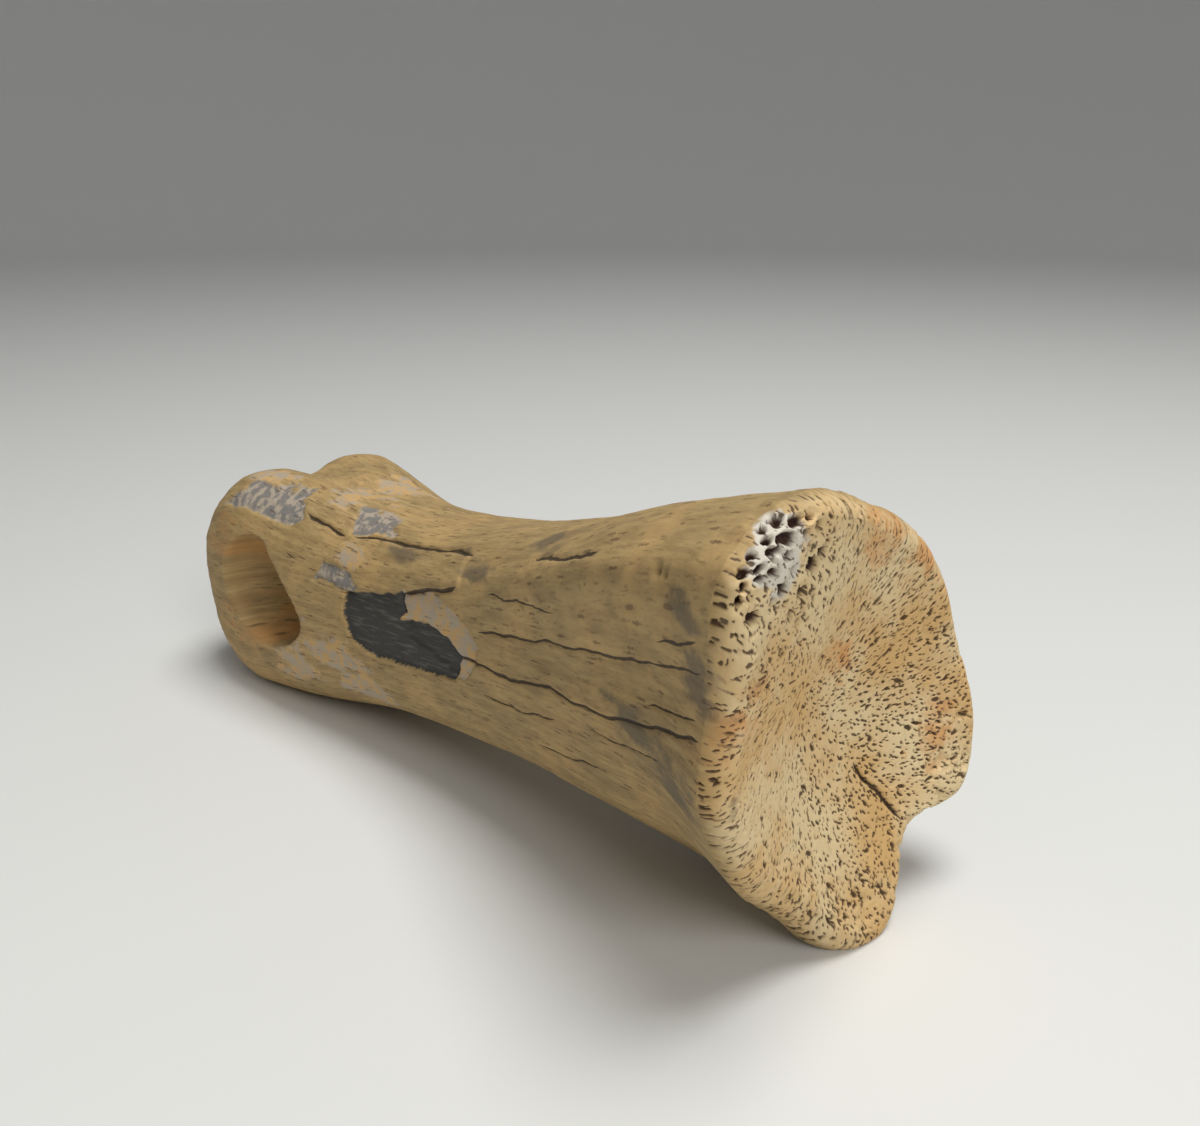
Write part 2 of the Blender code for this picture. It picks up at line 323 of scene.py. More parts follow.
@dataclass
class SkinGrid:
    """Rings of points from the middle of the face to the tip of the pulley, and the faces between them."""

    bands: tuple[Band, ...] = (
        Band(0.0, 0.16, 30, 256),
        Band(0.16, 0.4, 48, 512),
        Band(0.4, 1.0, 118, 1024),
        Band(1.0, 2.0, 26, 1024),
        Band(2.0, 3.0, 390, 512),
        Band(3.0, 4.0, 84, 512),
    )
    face_share: float = 0.42

    def __post_init__(self) -> None:
        """Lays out the rings."""
        self.rows = np.concatenate([
            band.first + (band.last - band.first) * np.arange(1, band.rings + 1) / band.rings for band in self.bands
        ])
        self.counts = np.concatenate([np.full(band.rings, band.points) for band in self.bands])
        self.starts = 1 + np.concatenate([[0], np.cumsum(self.counts)[:-1]])
        self.row = np.concatenate([[0], np.repeat(self.rows, self.counts)])
        self.angle = np.concatenate([[0]] + [np.arange(n) * 360 / n for n in self.counts])

    def corners(self) -> tuple[list[Array], list[Array]]:
        """Every face's rings and its places round them.

        Returns:
            Two lists of arrays, with a face in each row: the rings of its corners, where -1 is the middle point,
            and their places round the ring, counted on past the last one.
        """
        rings, places = [], []

        def add(pairs: list[tuple[int, Array]]) -> None:
            """Adds faces from pairs of a ring and the places of their corners on it."""
            rings.append(np.stack([np.full(len(place), ring) for ring, place in pairs], axis=1))
            places.append(np.stack([place for _, place in pairs], axis=1))

        i = np.arange(self.counts[0])
        add([(-1, i), (0, i), (0, i + 1)])
        for k in range(len(self.counts) - 1):
            here, following = self.counts[k], self.counts[k + 1]
            i = np.arange(min(here, following))
            if here == following:
                add([(k, i), (k + 1, i), (k + 1, i + 1), (k, i + 1)])
            elif here > following:
                add([(k, 2 * i), (k + 1, i), (k, 2 * i + 1)])
                add([(k, 2 * i + 1), (k + 1, i), (k + 1, i + 1)])
                add([(k, 2 * i + 1), (k + 1, i + 1), (k, 2 * i + 2)])
            else:
                add([(k, i), (k + 1, 2 * i), (k + 1, 2 * i + 1)])
                add([(k, i), (k + 1, 2 * i + 1), (k, i + 1)])
                add([(k, i + 1), (k + 1, 2 * i + 1), (k + 1, 2 * i + 2)])
        last, n = len(self.counts) - 1, self.counts[-1]
        i = np.arange(1, n // 2 - 1)
        add([(last, i), (last, n - i), (last, n - i - 1), (last, i + 1)])
        add([(last, np.array([0])), (last, np.array([n - 1])), (last, np.array([1]))])
        add([(last, np.array([n // 2 - 1])), (last, np.array([n // 2 + 1])), (last, np.array([n // 2]))])
        return rings, places

    def numbers(self, rings: Array, places: Array) -> Array:
        """The numbers of the points at places round rings."""
        return np.where(rings < 0, 0, self.starts[rings] + places % self.counts[rings])

    def flattened(self, rings: Array, places: Array, spots: Array) -> Array:
        """Where faces lie on the flat map: the face as it is seen, and the rest unrolled beside it.

        Args:
            rings: the rings of the faces' corners.
            places: the places round those rings.
            spots: where the face's points lie on the map.

        Returns:
            Two map coordinates for each corner.
        """
        row = np.where(rings < 0, 0, self.rows[rings])
        unrolled = np.stack([
            0.005 + 0.99 * places / self.counts[rings],
            0.005 + (1 - self.face_share - 0.01) * (4 - row) / 2.6,
        ], axis=-1)
        on_face = (row <= 1.4).all(axis=1)
        return np.where(on_face[:, None, None], spots[self.numbers(rings, places)], unrolled)

    def make(self, name: str, points: Array, flat_face: Array) -> bpy.types.Object:
        """A mesh object from the grid.

        Args:
            name: the object's name.
            points: the place of each point, in metres.
            flat_face: the face's points as they are seen from the front, in millimetres.

        Returns:
            The object, linked to the scene.
        """
        low, high = flat_face[self.row <= 1.4].min(axis=0), flat_face[self.row <= 1.4].max(axis=0)
        span = (high - low).max()
        spots = (flat_face - low) / span * (self.face_share - 0.01) + (0.005, 1 - self.face_share + 0.005)
        rings, places = self.corners()
        faces: list[list[int]] = []
        flat: list[Array] = []
        for ring, place in zip(rings, places):
            faces.extend(self.numbers(ring, place).tolist())
            flat.append(self.flattened(ring, place, spots).reshape(-1, 2))
        data = bpy.data.meshes.new(name)
        data.from_pydata(points.tolist(), [], faces)
        layer = data.uv_layers.new(name="OFBake")
        layer.data.foreach_set("uv", np.concatenate(flat).astype(np.float32).ravel())
        data.shade_smooth()
        made = bpy.data.objects.new(name, data)
        bpy.context.scene.collection.objects.link(made)
        return made


# ---- what time did to the bone -------------------------------------------------------------------------------


@dataclass
class Skin:
    """The skin's points while the relief is worked into them, with the values that the finish reads."""

    form: BoneForm
    grid: SkinGrid

    def __post_init__(self) -> None:
        """Works out the smooth form and the measures that the relief is placed by."""
        self.row, self.angle = self.grid.row, self.grid.angle
        self.base = self.form.surface(self.row, self.angle)
        self.along, self.across, self.height = self.base.T
        self.outward = self.normals()
        self.near = eased(-self.outward[:, 1], 0.1, 0.45) * (self.across < 0)
        self.corner_right = (self.form.middle_along - self.along + self.across - self.form.middle_across) / 2**0.5
        self.corner_up = 0.2418 * (
            self.along - self.form.middle_along + self.across - self.form.middle_across
        ) + 0.9397 * self.height
        self.corner_facing = (self.outward @ np.array((-0.664, -0.664, 0.342))) > 0.15
        self.rise = np.zeros(len(self.row))
        self.values: dict[str, Array] = {}

    def normals(self) -> Array:
        """Which way the smooth form faces at each point, in its own measures."""
        step_row, step_angle = 0.004, 0.25
        row = np.clip(self.row, 0.004, 3.99)
        down = self.form.surface(row + step_row, self.angle) - self.form.surface(row - step_row, self.angle)
        round_it = self.form.surface(row, self.angle + step_angle) - self.form.surface(row, self.angle - step_angle)
        facing = np.cross(round_it, down)
        facing = facing / np.maximum(np.linalg.norm(facing, axis=1, keepdims=True), 1e-9)
        middle = np.array((self.form.middle_along, 0, 27))
        if np.mean(np.sum(facing * (self.base - middle), axis=1) > 0) < 0.5:
            facing = -facing
        return facing

    def keep(self, name: str, value: Array) -> None:
        """Keeps a value for the finish to read; where it is kept already, the larger one stays."""
        self.values[name] = np.maximum(self.values[name], value) if name in self.values else value

    def keep_some(self, name: str, close: Array, value: Array) -> None:
        """Keeps a value at some points, where being far outside is the rule."""
        kept = self.values.setdefault(name, np.full(len(self.row), -FAR_OFF))
        kept[close] = np.maximum(kept[close], value)

    def points(self) -> Array:
        """The points with the relief worked in, in metres in the part's frame."""
        lifted = self.base + self.outward * self.rise[:, None]
        return self.form.placed(self.form.with_pits(lifted))


class Seen(Enum):
    """The side that a feature is drawn from, which says which two measures place it."""

    SIDE = "near side"
    FACE = "cupped face"
    CORNER = "open corner"

    def plane(self, skin: Skin) -> tuple[Array, Array, Array]:
        """The two measures and how much of each point faces that way."""
        if self is Seen.SIDE:
            return skin.along, skin.height, skin.near
        if self is Seen.FACE:
            return skin.across, skin.height, eased(skin.row, 1.9, 1.4)
        return skin.corner_right, skin.corner_up, skin.corner_facing.astype(float)


class Tone(Enum):
    """What a patch of bone looks like, by the name of the value that the finish reads."""

    SLATE = "slate"
    PALE = "pale"
    BLUE = "blue"
    STAIN = "stain"
    ORANGE_AND_SHADE = "orange_and_shade"

# Orange tone on the pulley and on the face's rim and middle; the two blotches on the far part of the cupped face use it
# as painted shade, where the face turns away from the light.

FAR_OFF = 3.0


def near_path(path: Sequence[tuple[float, float]], u: Array, v: Array) -> Array:
    """Whether places lie in or near the box round a path."""
    low, high = np.min(path, axis=0) - FAR_OFF, np.max(path, axis=0) + FAR_OFF
    return (u > low[0]) & (u < high[0]) & (v > low[1]) & (v < high[1])


@dataclass(frozen=True)
class Crack:
    """A crack along the grain, drawn through a few places."""

    path: tuple[tuple[float, float], ...]
    width: float = 1.0
    depth: float = 0.3
    seen: Seen = Seen.SIDE
    wander: float = 0.35

    def work(self, skin: Skin) -> None:
        """Cuts the crack and keeps how far each point lies to its side."""
        u, v, facing = self.seen.plane(skin)
        close = np.flatnonzero(near_path(self.path, u, v) & (facing > 0.05))
        points = skin.base[close]
        u = u[close] + self.wander * Grain(11).at(points, 3.2, 2)
        v = v[close] + self.wander * Grain(12).at(points, 3.2, 2)
        aside, run, length = self.beside(u, v)
        taper = eased(run, 0, 2.5) * eased(length - run, 0, 2.5)
        here = taper * eased(np.abs(aside), 1.2, 0.5) * facing[close] * self.width
        skin.rise[close] -= self.depth * bell(aside, 0.22 * self.width) * taper * facing[close]
        stronger = here > skin.values["crack_here"][close]
        skin.values["crack_here"][close[stronger]] = here[stronger]
        skin.values["crack_aside"][close[stronger]] = np.clip(aside, -2, 2)[stronger]

    def beside(self, u: Array, v: Array) -> tuple[Array, Array, float]:
        """How far places lie to the crack's side and along it, and the crack's length."""
        best, side, run, gone = np.full(len(u), 1e9), np.ones(len(u)), np.zeros(len(u)), 0.0
        for (u0, v0), (u1, v1) in zip(self.path, self.path[1:]):
            long = math.hypot(u1 - u0, v1 - v0)
            du, dv = (u1 - u0) / long, (v1 - v0) / long
            on = np.clip((u - u0) * du + (v - v0) * dv, 0, long)
            off = np.hypot(u - u0 - on * du, v - v0 - on * dv)
            turn = (u - u0) * dv - (v - v0) * du
            closer = off < best
            best = np.where(closer, off, best)
            side = np.where(closer, np.where(turn < 0, -1.0, 1.0), side)
            run = np.where(closer, gone + on, run)
            gone += long
        return best * side, run, gone


@dataclass(frozen=True)
class Patch:
    """An area with an edge, such as where a layer of bone has flaked off."""

    edge: tuple[tuple[float, float], ...]
    tone: Tone | None = None
    lift: float = 0.0
    step: float = 0.35
    ragged: float = 0.5
    swell: float = 2.2
    seen: Seen = Seen.SIDE

    def work(self, skin: Skin) -> None:
        """Lifts or sinks the area and keeps how far each point lies inside it."""
        u, v, facing = self.seen.plane(skin)
        close = np.flatnonzero(near_path(self.edge, u, v) & (facing > 0.02))
        inside = self.inside(u[close], v[close]) + self.ragged * Grain(21).at(skin.base[close], self.swell, 3)
        skin.rise[close] += self.lift * eased(inside, -self.step, self.step) * facing[close]
        if self.tone:
            skin.keep_some(self.tone.value, close, np.clip(inside, -FAR_OFF, FAR_OFF))

    def inside(self, u: Array, v: Array) -> Array:
        """How far places lie inside the edge, below 0 outside it."""
        best, within = np.full(len(u), 1e9), np.zeros(len(u), bool)
        for (u0, v0), (u1, v1) in zip(self.edge, self.edge[1:] + self.edge[:1]):
            du, dv = u1 - u0, v1 - v0
            on = np.clip(((u - u0) * du + (v - v0) * dv) / (du * du + dv * dv), 0, 1)
            best = np.minimum(best, np.hypot(u - u0 - on * du, v - v0 - on * dv))
            if v0 != v1:
                within ^= ((v0 > v) != (v1 > v)) & (u < (v - v0) / (v1 - v0) * du + u0)
        return np.where(within, best, -best)


@dataclass(frozen=True)
class Blotch:
    """A soft-edged colour or swelling round a place."""

    place: tuple[float, float, float]
    reach_along: float
    reach_round: float
    tone: Tone | None = None
    lift: float = 0.0
    mottle: float = 1.0

    def work(self, skin: Skin) -> None:
        """Lifts or sinks the place and keeps how far each point lies inside the blotch."""
        off = skin.base - np.array(self.place)
        far = (off[:, 0] / self.reach_along) ** 2 + (off[:, 1] ** 2 + off[:, 2] ** 2) / self.reach_round**2
        close = np.flatnonzero(far < 9)
        far, points = far[close], skin.base[close]
        skin.rise[close] += self.lift * np.exp(-far)
        if self.tone:
            inside = (1 - np.sqrt(far)) * 1.5 + self.mottle * Grain(31).at(points, (5, 2.2, 2.2), 3)
            skin.keep_some(self.tone.value, close, np.clip(inside, -FAR_OFF, FAR_OFF))


@dataclass(frozen=True)
class Cells:
    """The open spongy corner: rounded cells between thin walls, where the outer layer has gone."""

    cells: tuple[tuple[float, float, float, float], ...] = (
        (36.2, 39.4, 1.15, 0.7), (34.6, 38.2, 0.55, 0.42), (35.4, 36.9, 0.75, 0.5), (37.7, 36.9, 1.3, 0.95),
        (39.0, 39.0, 1.0, 0.9), (40.8, 39.3, 0.5, 0.4), (33.4, 35.5, 0.7, 0.42), (36.3, 35.5, 1.05, 0.55),
        (38.1, 35.1, 0.62, 0.6), (34.7, 33.9, 0.75, 0.55), (36.4, 33.4, 0.65, 0.42), (32.6, 33.6, 0.85, 0.6),
        (34.9, 32.7, 0.85, 0.4), (36.3, 34.5, 0.3, 0.35), (39.1, 33.7, 0.5, 0.5), (37.9, 31.6, 0.8, 0.8),
        (42.2, 34.1, 0.9, 0.8), (43.4, 35.4, 0.7, 0.6), (41.0, 31.2, 0.6, 0.5), (32.1, 30.6, 0.45, 0.55),
        (34.2, 28.9, 0.85, 0.65), (39.9, 28.8, 0.6, 0.5), (41.3, 27.8, 0.35, 0.35), (32.7, 32.1, 0.35, 0.7),
        (40.4, 37.3, 0.5, 0.45), (41.1, 36.1, 0.35, 0.5), (42.0, 38.3, 0.5, 0.5), (44.0, 36.6, 0.35, 0.35),
        (35.6, 35.9, 0.3, 0.25), (33.6, 31.0, 0.4, 0.35), (38.6, 29.9, 0.45, 0.35), (36.6, 30.4, 0.4, 0.5),
    )
    depth: float = 1.5
    wall: float = 0.22

    def work(self, skin: Skin) -> None:
        """Sinks the cells and keeps how dark their floors and how pale the walls between them are."""
        u, v, facing = Seen.CORNER.plane(skin)
        near = np.flatnonzero((facing > 0) & (np.hypot(u - 38, v - 34) < 11))
        points = skin.base[near]
        u = u[near] + 0.2 * Grain(41).at(points, 0.9, 2)
        v = v[near] + 0.2 * Grain(42).at(points, 0.9, 2)
        floor, closest = np.zeros(len(near)), np.full(len(near), 9.0)
        for right, up, half_right, half_up in self.cells:
            far = (np.abs((u - right) / half_right) ** 2.6 + np.abs((v - up) / half_up) ** 2.6) ** (1 / 2.6)
            gap = (far - 1) * min(half_right, half_up)
            floor = np.maximum(floor, eased(gap, 0.1, -0.16))
            closest = np.minimum(closest, gap)
        skin.rise[near] -= self.depth * floor
        deep, pale = np.zeros(len(skin.row)), np.full(len(skin.row), -FAR_OFF)
        deep[near] = floor
        middle = eased(np.hypot(u - 36.8, (v - 35.5) * 0.8), 5.5, 2.5)
        pale[near] = (0.5 - closest) * 2 + 2.2 * middle - 1.4
        skin.keep("cell", deep)
        skin.keep("wall", pale)
        skin.rise[near] -= 0.35 * eased(closest, 0.9, 0.2)


@dataclass(frozen=True)
class Pores:
    """A layer of small slit-like openings of blood vessels, which follow the flow of the bone."""

    spacing: float
    half_width: tuple[float, float]
    stretch: tuple[float, float]
    depth: float
    seed: int
    TABLE = 256

    def work(self, skin: Skin, share: Callable[[Array, Array], Array], flow: Callable[[Array, Array], Array]) -> None:
        """Sinks the openings into the face and keeps how dark each point is.

        Args:
            skin: the skin to work on.
            share: how many of the places hold an opening, from 0 to 1, by measures across and up.
            flow: which way the openings run, as an angle, by the same measures.
        """
        on_face = np.flatnonzero(skin.row < 1.98)
        points = skin.base[on_face]
        u = skin.across[on_face] + 0.12 * Grain(self.seed).at(points, 0.6, 1)
        v = skin.height[on_face] + 0.12 * Grain(self.seed + 1).at(points, 0.6, 1)
        draws = np.random.default_rng(self.seed).random((6, self.TABLE, self.TABLE))
        cell_u, cell_v = np.floor(u / self.spacing).astype(int), np.floor(v / self.spacing).astype(int)
        reach = max(1, math.ceil(self.half_width[1] * self.stretch[1] / self.spacing))
        open_share = np.zeros(len(u))
        for step_u in range(-reach, reach + 1):
            for step_v in range(-reach, reach + 1):
                i, j = cell_u + step_u, cell_v + step_v
                drawn = draws[:, i % self.TABLE, j % self.TABLE]
                at_u, at_v = (i + drawn[0]) * self.spacing, (j + drawn[1]) * self.spacing
                turn = flow(at_u, at_v) + 0.9 * (drawn[2] - 0.5)
                half = self.half_width[0] + (self.half_width[1] - self.half_width[0]) * drawn[3] ** 2
                long = half * (self.stretch[0] + (self.stretch[1] - self.stretch[0]) * drawn[4])
                off_u, off_v = u - at_u, v - at_v
                far = np.hypot((off_u * np.cos(turn) + off_v * np.sin(turn)) / long,
                               (off_v * np.cos(turn) - off_u * np.sin(turn)) / half)
                there = drawn[5] < share(at_u, at_v)
                open_share = np.maximum(open_share, eased(far, 1.25, 0.55) * there)
        skin.rise[on_face] -= self.depth * open_share * (1 - skin.values["cell"][on_face])
        dark = np.zeros(len(skin.row))
        dark[on_face] = open_share
        skin.keep("pore", dark)


@dataclass(frozen=True)
class FaceTexture:
    """The cupped face's flowing pores. The crease that runs to its notch is FACE_CREASE, and its worn rim comes with
    the weathering.
    """

    flow_middle: tuple[float, float] = (-9.0, 41.0)
    small: Pores = Pores(0.78, (0.10, 0.2), (1.6, 3.6), 0.22, 51)
    large: Pores = Pores(1.55, (0.16, 0.36), (1.1, 2.8), 0.45, 61)
    heel: Pores = Pores(1.2, (0.25, 0.42), (1.0, 2.0), 0.6, 71)

    def flow(self, across: Array, height: Array) -> Array:
        """Which way the pores run: away from the middle of the face, with a slight swirl."""
        return np.arctan2(height - self.flow_middle[1], across - self.flow_middle[0]) + 0.25

    def share_small(self, across: Array, height: Array) -> Array:
        """How many small pores there are."""
        wave = 0.5 + 0.5 * np.sin(across * 0.55 + 1.3) * np.sin(height * 0.43 + 0.4)
        return 0.55 + 0.35 * wave

    def share_large(self, across: Array, height: Array) -> Array:
        """How many larger pores there are."""
        wave = 0.5 + 0.5 * np.sin(across * 0.31 + 2.1) * np.cos(height * 0.27)
        by_corner = bell(np.hypot(across + 14, height - 52), 7)
        return 0.12 + 0.34 * wave + 0.4 * by_corner

    def share_heel(self, across: Array, height: Array) -> Array:
        """How many of the widest pores there are, most of them at the heel and by the open corner."""
        return 0.85 * bell(np.hypot(across + 4, (height - 8) * 1.3), 4.5) + 0.5 * bell(
            np.hypot(across + 13.5, (height - 50.5) * 1.2), 3.2
        )

    def work(self, skin: Skin) -> None:
        """Works the whole face."""
        self.small.work(skin, self.share_small, self.flow)
        self.large.work(skin, self.share_large, self.flow)
        self.heel.work(skin, self.share_heel, self.flow)


NEAR_CRACKS = (
    Crack(((56.3, 34.0), (52.4, 35.1), (35.0, 39.6), (24.5, 42.2), (17.5, 44.3), (9.4, 47.0), (2.5, 49.7)), 1.0),
    Crack(((61.9, 28.0), (55.1, 29.0), (45.6, 30.0), (37.6, 32.3), (31.7, 32.7), (22.0, 34.6), (11.0, 38.3), (3.3, 41.0)), 1.25),
    Crack(((43.1, 20.6), (37.2, 21.2), (27.5, 24.2)), 0.8),
    Crack(((16.0, 39.5), (8.9, 41.5), (4.1, 42.9)), 0.7),
    Crack(((12.3, 49.5), (7.4, 51.2), (3.1, 53.5)), 1.1),
    Crack(((42.4, 49.1), (32.2, 52.6), (24.1, 55.8)), 1.0),
    Crack(((53.3, 40.8), (42.9, 43.0), (33.7, 45.0)), 0.8),
    Crack(((108.7, 39.8), (102.4, 38.8), (96.5, 38.0)), 1.1, 0.5),
    Crack(((95.3, 38.3), (88.0, 39.3), (81.1, 39.9), (74.6, 40.9), (66.9, 42.4), (61.3, 43.4)), 1.2, 0.5, wander=0.2),
    Crack(((77.6, 33.6), (70.0, 36.2), (65.7, 37.4), (61.0, 39.6)), 1.6, 0.7, wander=0.2),
    Crack(((109.5, 33.6), (105.7, 32.5)), 0.9, 0.4),
    Crack(((56.0, 24.0), (45.0, 25.3), (36.0, 28.0)), 0.6),
    Crack(((29.0, 30.0), (20.0, 31.5), (12.0, 33.8)), 0.6),
)
FACE_CREASE = Crack(
    ((3.4, 25.4), (5.6, 22.3), (8.1, 19.3), (9.0, 18.0), (10.7, 15.8), (12.2, 14.0)), 1.5, 0.7, Seen.FACE, 0.25
)

NEAR_PATCHES = (
    Patch(((77.3, 34.2), (69.0, 36.6), (61.9, 35.4), (55.9, 31.4), (56.3, 28.0), (60.5, 24.6), (75.0, 27.0)), Tone.PALE, -0.35),
    Patch(((92.4, 30.3), (84.0, 32.0), (77.3, 33.9), (75.8, 31.1), (76.8, 29.6), (68.4, 31.0), (64.3, 30.1), (60.7, 28.0),
           (62.2, 24.0), (69.0, 22.3), (77.3, 21.4), (85.6, 20.6), (90.6, 21.8), (92.6, 25.0)), Tone.SLATE, -0.75, 0.25, 0.35),
    Patch(((100.4, 31.2), (97.6, 36.2), (95.3, 38.3), (88.0, 39.3), (81.1, 39.8), (72.0, 41.3), (62.5, 43.2), (61.0, 39.3),
           (65.7, 37.2), (77.6, 33.8), (91.0, 30.4)), None, 0.4, 0.3, 0.2),
    Patch(((101.0, 30.4), (99.5, 34.0), (91.5, 33.6), (88.5, 31.6), (90.5, 29.8)), Tone.BLUE, -0.35),
    Patch(((99.8, 41.5), (90.9, 41.8), (85.6, 40.0), (95.9, 38.6)), Tone.BLUE, -0.4),
    Patch(((131.5, 37.4), (122.9, 38.0), (114.9, 37.0), (109.8, 37.3), (108.4, 38.8), (112.2, 42.1), (126.4, 42.4)), Tone.BLUE, -0.5),
)

BLOTCHES = (
    Blotch((40.8, -14.5, 51.7), 8, 3.2, Tone.STAIN),
    Blotch((17.2, -24.1, 34.8), 7.5, 3.2, Tone.STAIN),
    Blotch((12.0, -24.7, 32.0), 9, 4.5, Tone.STAIN),
    Blotch((6.3, -29.8, 55.6), 4.5, 2.6, Tone.STAIN),
    Blotch((57.7, -15.3, 42.4), 7.0, 2.0, Tone.STAIN),
    Blotch((64.3, -11.4, 43.3), 2.6, 1.4, Tone.STAIN),
    Blotch((3.5, -28.5, 46.5), 3.5, 5.5, Tone.STAIN),
    Blotch((78.0, -12.0, 39.0), 12, 2.0, Tone.STAIN),
    Blotch((105.0, -2.5, 41.9), 8, 5.0, Tone.PALE),
    Blotch((126.0, -9.0, 41.5), 7, 3.5, Tone.PALE),
    Blotch((96.0, -16.7, 17.5), 8, 4.0, Tone.PALE),
    Blotch((91.0, -15.0, 12.5), 7, 4.0, Tone.PALE),
    Blotch((108.0, -17.0, 12.0), 7, 4.0, Tone.PALE),
    Blotch((107.0, 6.0, 41.0), 7, 4.0, Tone.PALE),
    Blotch((92.0, -14.8, 35.3), 4.5, 2.2, Tone.PALE),
    Blotch((0.0, 1.5, 59.0), 5, 6, Tone.ORANGE_AND_SHADE),
    # Painted shade: these two orange blotches darken the far upper and far lower part of the cupped face, where it
    # turns away from the light.
    Blotch((1.0, 11.0, 53.0), 5, 5, Tone.ORANGE_AND_SHADE),
    Blotch((0.5, 19.5, 24.5), 5, 5, Tone.ORANGE_AND_SHADE),
    Blotch((0.5, -27.5, 43.0), 5, 6, Tone.ORANGE_AND_SHADE),
    Blotch((4.5, -1.2, 41.5), 5, 4, Tone.ORANGE_AND_SHADE),
    Blotch((122.0, -18.5, 15.0), 9, 5, Tone.ORANGE_AND_SHADE),
    Blotch((127.0, -19.0, 30.0), 7, 5, Tone.ORANGE_AND_SHADE),
    Blotch((-1.5, -28.6, 51.5), 2.6, 2.6, None, 0.9),
    Blotch((-1.0, -25.0, 47.5), 2.5, 2.5, None, -0.5),
    Blotch((11.2, -27.8, 58.3), 0.75, 0.75, None, -1.0),
    Blotch((9.4, -28.5, 58.5), 0.5, 0.5, None, -0.7),
)


@dataclass(frozen=True)
class Weathering:
    """The slow unevenness of the whole surface and the wear along the rim of the face."""

    swell: float = 0.22
    rim_wear: float = 0.5

    def work(self, skin: Skin) -> None:
        """Works the whole skin, less where the bone rests on the floor."""
        off_floor = eased(skin.height, 0.5, 6)
        along_grain = np.stack([skin.along * 0.45, skin.across, skin.height], axis=1)
        skin.rise += self.swell * off_floor * Grain(81).at(along_grain, 7.5, 3)
        fibres = np.stack([skin.along * 0.14, skin.across, skin.height], axis=1)
        skin.rise += 0.07 * off_floor * Grain(82).at(fibres, 1.3, 3) * eased(skin.row, 1.6, 2.05)
        rim = bell(skin.row - 1.25, 0.5)
        chips = np.maximum(Grain(83).at(skin.base, 2.2, 3) - 0.25, 0)
        far_rim = 0.5 + 1.2 * bell(turned_from(skin.angle, 330), 22)
        skin.rise -= self.rim_wear * rim * off_floor * chips * far_rim * 2
        skin.keep("shaft", eased(skin.row + 0.08 * Grain(84).at(skin.base, 3.0, 2), 1.25, 2.04))


@dataclass
class ToeBoneSkin:
    """The whole bone as it is seen, in one piece, as the real one is."""

    form: BoneForm
    grid: SkinGrid

    def build(self) -> bpy.types.Object:
        """Works the relief into the form, makes the mesh and gives it the values that its finish reads."""
        skin = Skin(self.form, self.grid)
        size = len(skin.row)
        skin.values = {"crack_here": np.zeros(size), "crack_aside": np.full(size, 2.0), "cell": np.zeros(size)}
        Weathering().work(skin)
        for feature in (Cells(), FaceTexture(), *NEAR_PATCHES, *BLOTCHES, *NEAR_CRACKS, FACE_CREASE):
            feature.work(skin)
        made = self.grid.make("toe_bone_skin", skin.points(), np.stack([skin.across, skin.height], axis=1))
        for name, value in skin.values.items():
            made.data.attributes.new(name, "FLOAT", "POINT").data.foreach_set("value", value.astype(np.float32))
        turn = np.radians(skin.angle)
        radius = 17 * np.clip(skin.row, 0, 1)
        lay = np.stack([skin.along, radius * np.cos(turn), radius * np.sin(turn)], axis=1)
        made.data.attributes.new("lay", "FLOAT_VECTOR", "POINT").data.foreach_set("vector", lay.astype(np.float32).ravel())
        return made


# ---- the finish ----------------------------------------------------------------------------------------------


class Wire:
    """A number in a material, with Python's operators for its Math nodes."""

    def __init__(self, net: "Net", socket: bpy.types.NodeSocket) -> None:
        """Wraps an output socket."""
        self.net, self.socket = net, socket

    def _math(self, operation: str, *values: "Wire | float", clamp: bool = False) -> "Wire":
        """A Math node on values."""
        node = self.net.node("ShaderNodeMath", {"operation": operation, "use_clamp": clamp}, dict(enumerate(values)))
        return Wire(self.net, node.outputs[0])

    def __add__(self, other: "Wire | float") -> "Wire":
        """This and another number."""
        return self._math("ADD", self, other)

    __radd__ = __add__

    def __sub__(self, other: "Wire | float") -> "Wire":
        """This less another number."""
        return self._math("SUBTRACT", self, other)

    def __rsub__(self, other: float) -> "Wire":
        """Another number less this."""
        return self._math("SUBTRACT", other, self)

    def __mul__(self, other: "Wire | float") -> "Wire":
        """This times another number."""
        return self._math("MULTIPLY", self, other)

    __rmul__ = __mul__

    def __abs__(self) -> "Wire":
        """This number without its sign."""
        return self._math("ABSOLUTE", self)

    def most(self, other: "Wire | float") -> "Wire":
        """The larger of this and another number."""
        return self._math("MAXIMUM", self, other)

    def step(self, low: float, high: float) -> "Wire":
        """A smooth step from 0 at low to 1 at high."""
        settings = {"interpolation_type": "SMOOTHSTEP"}
        node = self.net.node("ShaderNodeMapRange", settings, {"Value": self, "From Min": low, "From Max": high})
        return Wire(self.net, node.outputs["Result"])


